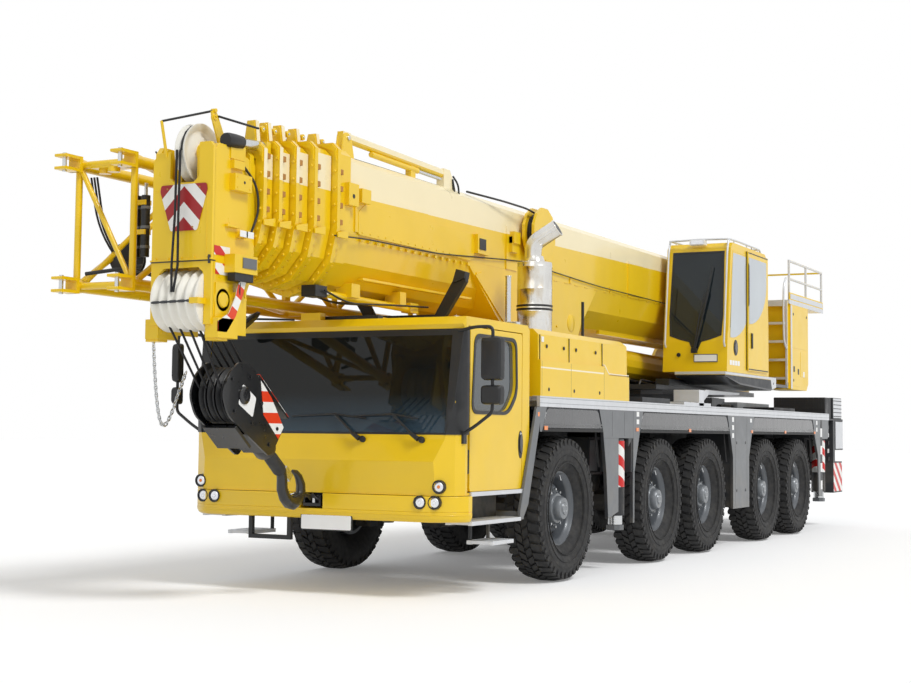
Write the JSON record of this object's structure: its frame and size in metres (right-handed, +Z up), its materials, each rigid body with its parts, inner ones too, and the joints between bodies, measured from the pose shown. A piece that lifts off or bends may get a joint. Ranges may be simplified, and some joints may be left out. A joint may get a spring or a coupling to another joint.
{
  "type": "five-axle mobile crane",
  "caption": "All-terrain mobile crane: full-width driving cab, slewing superstructure, telescopic boom laid forward, side-folded lattice jib and slide-out outriggers.",
  "frame": {"origin": "ground, centre of the bounding box", "axes": "+Z up, front towards -Y, the vehicle's left side at +X"},
  "size_m": [3.4, 15.521, 3.942],
  "materials": {
    "cab_yellow": "gloss",
    "boom_yellow": "gloss",
    "chassis_grey": "satin",
    "body_grey": "satin",
    "black_trim": "matte",
    "iron_black": "satin",
    "tread_aluminium": "brushed",
    "exhaust_steel": "bright",
    "cylinder_steel": "polished",
    "tyre_rubber": "matte",
    "window_glass": "clear",
    "seat_plastic": "matte",
    "lamp_housing": "gloss",
    "rope_steel": "oiled"
  },
  "bodies": {
    "carrier": {"chassis_frame": "chassis_grey", "boom_rest": "iron_black", "axles": "iron_black", "deck": "tread_aluminium", "bodywork": "body_grey", "cab_shell": "cab_yellow", "cab_glass": "window_glass", "cab_interior": "seat_plastic", "front_bumper": "cab_yellow", "lamps_and_mirrors": "lamp_housing", "engine_hood": "cab_yellow", "engine_block": "iron_black", "exhaust_stack": "exhaust_steel"},
    "superstructure": {"turntable": "boom_yellow", "turntable_deck": "cab_yellow", "winch": "rope_steel"},
    "crane_cab": {"crane_cab_shell": "cab_yellow", "crane_cab_glass": "window_glass", "crane_cab_interior": "seat_plastic"},
    "crane_cab_door": {"crane_cab_door": "cab_yellow"},
    "luff_barrel": {"luff_barrel": "boom_yellow"},
    "luff_rod": {"luff_rod": "cylinder_steel"},
    "boom": {"boom_base": "boom_yellow", "folding_jib": "boom_yellow"},
    "hook_block": {"hook_block": "black_trim"},
    "boom_section_1": {"boom_section_1": "boom_yellow"},
    "boom_section_2": {"boom_section_2": "boom_yellow"},
    "boom_section_3": {"boom_section_3": "boom_yellow"},
    "boom_section_4": {"boom_section_4": "boom_yellow"},
    "boom_section_5": {"boom_section_5": "boom_yellow"},
    "cab_door_left": {"cab_door_left": "cab_yellow"},
    "outrigger_beam_front_left": {"outrigger_beam_front_left": "boom_yellow"},
    "outrigger_jack_front_left": {"outrigger_jack_front_left": "cylinder_steel"},
    "outrigger_beam_rear_left": {"outrigger_beam_rear_left": "boom_yellow"},
    "outrigger_jack_rear_left": {"outrigger_jack_rear_left": "cylinder_steel"},
    "cab_door_right": {"cab_door_right": "cab_yellow"},
    "outrigger_beam_front_right": {"outrigger_beam_front_right": "boom_yellow"},
    "outrigger_jack_front_right": {"outrigger_jack_front_right": "cylinder_steel"},
    "outrigger_beam_rear_right": {"outrigger_beam_rear_right": "boom_yellow"},
    "outrigger_jack_rear_right": {"outrigger_jack_rear_right": "cylinder_steel"},
    "knuckle_1_left": {"knuckle_1_left": "iron_black"},
    "wheel_1_left": {"wheel_1_left": "tyre_rubber"},
    "knuckle_1_right": {"knuckle_1_right": "iron_black"},
    "wheel_1_right": {"wheel_1_right": "tyre_rubber"},
    "knuckle_2_left": {"knuckle_2_left": "iron_black"},
    "wheel_2_left": {"wheel_2_left": "tyre_rubber"},
    "knuckle_2_right": {"knuckle_2_right": "iron_black"},
    "wheel_2_right": {"wheel_2_right": "tyre_rubber"},
    "knuckle_3_left": {"knuckle_3_left": "iron_black"},
    "wheel_3_left": {"wheel_3_left": "tyre_rubber"},
    "knuckle_3_right": {"knuckle_3_right": "iron_black"},
    "wheel_3_right": {"wheel_3_right": "tyre_rubber"},
    "knuckle_4_left": {"knuckle_4_left": "iron_black"},
    "wheel_4_left": {"wheel_4_left": "tyre_rubber"},
    "knuckle_4_right": {"knuckle_4_right": "iron_black"},
    "wheel_4_right": {"wheel_4_right": "tyre_rubber"},
    "knuckle_5_left": {"knuckle_5_left": "iron_black"},
    "wheel_5_left": {"wheel_5_left": "tyre_rubber"},
    "knuckle_5_right": {"knuckle_5_right": "iron_black"},
    "wheel_5_right": {"wheel_5_right": "tyre_rubber"}
  },
  "joints": [
    {"name": "slew", "type": "hinge", "parent": "carrier", "child": "superstructure", "pos_m": [0, 2.13, 1.9], "axis": [0, 0, 1], "continuous": true},
    {"name": "luff", "type": "hinge", "parent": "superstructure", "child": "boom", "pos_m": [0, 5.05, 3.15], "axis": [-1, 0, 0], "range_deg": [0, 82]},
    {"name": "telescope_1", "type": "slide", "parent": "boom", "child": "boom_section_1", "axis": [0, -1, 0], "range_m": [0, 9.6]},
    {"name": "telescope_2", "type": "slide", "parent": "boom_section_1", "child": "boom_section_2", "axis": [0, -1, 0], "range_m": [0, 9.6]},
    {"name": "telescope_3", "type": "slide", "parent": "boom_section_2", "child": "boom_section_3", "axis": [0, -1, 0], "range_m": [0, 9.6]},
    {"name": "telescope_4", "type": "slide", "parent": "boom_section_3", "child": "boom_section_4", "axis": [0, -1, 0], "range_m": [0, 9.6]},
    {"name": "telescope_5", "type": "slide", "parent": "boom_section_4", "child": "boom_section_5", "axis": [0, -1, 0], "range_m": [0, 9.6]},
    {"name": "hook_swing", "type": "hinge", "parent": "boom_section_5", "child": "hook_block", "pos_m": [0, -7.52, 2.37], "axis": [1, 0, 0], "range_deg": [0, 41]},
    {"name": "luff_cylinder_swing", "type": "hinge", "parent": "superstructure", "child": "luff_barrel", "pos_m": [0, 3.5, 2.25], "axis": [-1, 0, 0], "range_deg": [0, 88.18]},
    {"name": "luff_cylinder_stroke", "type": "slide", "parent": "luff_barrel", "child": "luff_rod", "axis": [0, -0.9999, 0.0172], "range_m": [0, 2.281]},
    {"name": "crane_cab_tilt", "type": "hinge", "parent": "superstructure", "child": "crane_cab", "pos_m": [0.93, 3.5, 2.185], "axis": [-1, 0, 0], "range_deg": [0, 20]},
    {"name": "crane_cab_door_slide", "type": "slide", "parent": "crane_cab", "child": "crane_cab_door", "axis": [0, 1, 0], "range_m": [0, 0.5]},
    {"name": "cab_door_left_hinge", "type": "hinge", "parent": "carrier", "child": "cab_door_left", "pos_m": [1.325, -5.462, 1.6], "axis": [0, 0, -1], "range_deg": [0, 75]},
    {"name": "outrigger_beam_front_left_slide", "type": "slide", "parent": "carrier", "child": "outrigger_beam_front_left", "axis": [1, 0, 0], "range_m": [0, 1.75]},
    {"name": "outrigger_jack_front_left_slide", "type": "slide", "parent": "outrigger_beam_front_left", "child": "outrigger_jack_front_left", "axis": [0, 0, -1], "range_m": [0, 0.6]},
    {"name": "outrigger_beam_rear_left_slide", "type": "slide", "parent": "carrier", "child": "outrigger_beam_rear_left", "axis": [1, 0, 0], "range_m": [0, 1.75]},
    {"name": "outrigger_jack_rear_left_slide", "type": "slide", "parent": "outrigger_beam_rear_left", "child": "outrigger_jack_rear_left", "axis": [0, 0, -1], "range_m": [0, 0.6]},
    {"name": "cab_door_right_hinge", "type": "hinge", "parent": "carrier", "child": "cab_door_right", "pos_m": [-1.325, -5.462, 1.6], "axis": [0, 0, 1], "range_deg": [0, 75]},
    {"name": "outrigger_beam_front_right_slide", "type": "slide", "parent": "carrier", "child": "outrigger_beam_front_right", "axis": [-1, 0, 0], "range_m": [0, 1.75]},
    {"name": "outrigger_jack_front_right_slide", "type": "slide", "parent": "outrigger_beam_front_right", "child": "outrigger_jack_front_right", "axis": [0, 0, -1], "range_m": [0, 0.6]},
    {"name": "outrigger_beam_rear_right_slide", "type": "slide", "parent": "carrier", "child": "outrigger_beam_rear_right", "axis": [-1, 0, 0], "range_m": [0, 1.75]},
    {"name": "outrigger_jack_rear_right_slide", "type": "slide", "parent": "outrigger_beam_rear_right", "child": "outrigger_jack_rear_right", "axis": [0, 0, -1], "range_m": [0, 0.6]},
    {"name": "steer_1_left", "type": "hinge", "parent": "carrier", "child": "knuckle_1_left", "pos_m": [0.9, -3.4, 0.685], "axis": [0, 0, 1], "range_deg": [-32, 32]},
    {"name": "wheel_1_left_spin", "type": "hinge", "parent": "knuckle_1_left", "child": "wheel_1_left", "pos_m": [1.175, -3.4, 0.685], "axis": [1, 0, 0], "continuous": true},
    {"name": "steer_1_right", "type": "hinge", "parent": "carrier", "child": "knuckle_1_right", "pos_m": [-0.9, -3.4, 0.685], "axis": [0, 0, 1], "range_deg": [-32, 32]},
    {"name": "wheel_1_right_spin", "type": "hinge", "parent": "knuckle_1_right", "child": "wheel_1_right", "pos_m": [-1.175, -3.4, 0.685], "axis": [1, 0, 0], "continuous": true},
    {"name": "steer_2_left", "type": "hinge", "parent": "carrier", "child": "knuckle_2_left", "pos_m": [0.9, -0.76, 0.685], "axis": [0, 0, 1], "range_deg": [-22.4, 22.4]},
    {"name": "wheel_2_left_spin", "type": "hinge", "parent": "knuckle_2_left", "child": "wheel_2_left", "pos_m": [1.175, -0.76, 0.685], "axis": [1, 0, 0], "continuous": true},
    {"name": "steer_2_right", "type": "hinge", "parent": "carrier", "child": "knuckle_2_right", "pos_m": [-0.9, -0.76, 0.685], "axis": [0, 0, 1], "range_deg": [-22.4, 22.4]},
    {"name": "wheel_2_right_spin", "type": "hinge", "parent": "knuckle_2_right", "child": "wheel_2_right", "pos_m": [-1.175, -0.76, 0.685], "axis": [1, 0, 0], "continuous": true},
    {"name": "steer_3_left", "type": "hinge", "parent": "carrier", "child": "knuckle_3_left", "pos_m": [0.9, 0.89, 0.685], "axis": [0, 0, 1], "range_deg": [-8.4, 8.4]},
    {"name": "wheel_3_left_spin", "type": "hinge", "parent": "knuckle_3_left", "child": "wheel_3_left", "pos_m": [1.175, 0.89, 0.685], "axis": [1, 0, 0], "continuous": true},
    {"name": "steer_3_right", "type": "hinge", "parent": "carrier", "child": "knuckle_3_right", "pos_m": [-0.9, 0.89, 0.685], "axis": [0, 0, 1], "range_deg": [-8.4, 8.4]},
    {"name": "wheel_3_right_spin", "type": "hinge", "parent": "knuckle_3_right", "child": "wheel_3_right", "pos_m": [-1.175, 0.89, 0.685], "axis": [1, 0, 0], "continuous": true},
    {"name": "steer_4_left", "type": "hinge", "parent": "carrier", "child": "knuckle_4_left", "pos_m": [0.9, 3.37, 0.685], "axis": [0, 0, 1], "range_deg": [-18.2, 18.2]},
    {"name": "wheel_4_left_spin", "type": "hinge", "parent": "knuckle_4_left", "child": "wheel_4_left", "pos_m": [1.175, 3.37, 0.685], "axis": [1, 0, 0], "continuous": true},
    {"name": "steer_4_right", "type": "hinge", "parent": "carrier", "child": "knuckle_4_right", "pos_m": [-0.9, 3.37, 0.685], "axis": [0, 0, 1], "range_deg": [-18.2, 18.2]},
    {"name": "wheel_4_right_spin", "type": "hinge", "parent": "knuckle_4_right", "child": "wheel_4_right", "pos_m": [-1.175, 3.37, 0.685], "axis": [1, 0, 0], "continuous": true},
    {"name": "steer_5_left", "type": "hinge", "parent": "carrier", "child": "knuckle_5_left", "pos_m": [0.9, 5.02, 0.685], "axis": [0, 0, 1], "range_deg": [-28, 28]},
    {"name": "wheel_5_left_spin", "type": "hinge", "parent": "knuckle_5_left", "child": "wheel_5_left", "pos_m": [1.175, 5.02, 0.685], "axis": [1, 0, 0], "continuous": true},
    {"name": "steer_5_right", "type": "hinge", "parent": "carrier", "child": "knuckle_5_right", "pos_m": [-0.9, 5.02, 0.685], "axis": [0, 0, 1], "range_deg": [-28, 28]},
    {"name": "wheel_5_right_spin", "type": "hinge", "parent": "knuckle_5_right", "child": "wheel_5_right", "pos_m": [-1.175, 5.02, 0.685], "axis": [1, 0, 0], "continuous": true}
  ],
  "couplings": [
    {"joint": "hook_swing", "follows": "luff", "ratio": 0.5},
    {"joint": "luff_cylinder_swing", "follows": "luff", "ratio": 1.0729},
    {"joint": "luff_cylinder_stroke", "follows": "luff", "m_per_rad": 1.5903},
    {"joint": "steer_1_right", "follows": "steer_1_left", "ratio": 1},
    {"joint": "steer_2_left", "follows": "steer_1_left", "ratio": 0.7},
    {"joint": "steer_2_right", "follows": "steer_1_left", "ratio": 0.7},
    {"joint": "steer_3_left", "follows": "steer_5_left", "ratio": -0.3},
    {"joint": "steer_3_right", "follows": "steer_5_left", "ratio": -0.3},
    {"joint": "steer_4_left", "follows": "steer_5_left", "ratio": 0.65},
    {"joint": "steer_4_right", "follows": "steer_5_left", "ratio": 0.65},
    {"joint": "steer_5_right", "follows": "steer_5_left", "ratio": 1}
  ]
}
